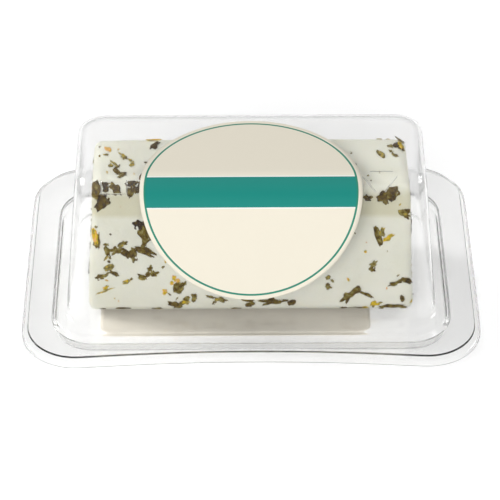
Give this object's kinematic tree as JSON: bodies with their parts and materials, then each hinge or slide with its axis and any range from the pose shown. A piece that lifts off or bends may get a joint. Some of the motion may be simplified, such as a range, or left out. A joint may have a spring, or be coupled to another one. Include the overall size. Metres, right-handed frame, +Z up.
{
  "type": "packed fresh goat cheese with herbs",
  "caption": "Soft white goat cheese block with garlic and herb flecks, shut in a clear domed lid on a shallow clear tray, with plain paper labels on the lid and under the tray.",
  "frame": {"origin": "centre of the pack's outer box, on the table", "axes": "+Z up, +X along the pack's width, the front with the sloping labelled wall faces -Y"},
  "size_m": [0.13, 0.0924, 0.0465],
  "materials": {
    "clear_plastic": "clear thin thermoformed sheet, glossy",
    "fresh_cheese": "soft white fresh cheese, moist, with dark herb flakes",
    "label_paper": "smooth cream paper with a thin teal ring and a teal band",
    "base_paper": "plain beige paper"
  },
  "bodies": {
    "root": {"tray": "clear_plastic", "lid": "clear_plastic", "cheese": "fresh_cheese", "front_label": "label_paper", "base_label": "base_paper"}
  },
  "joints": []
}
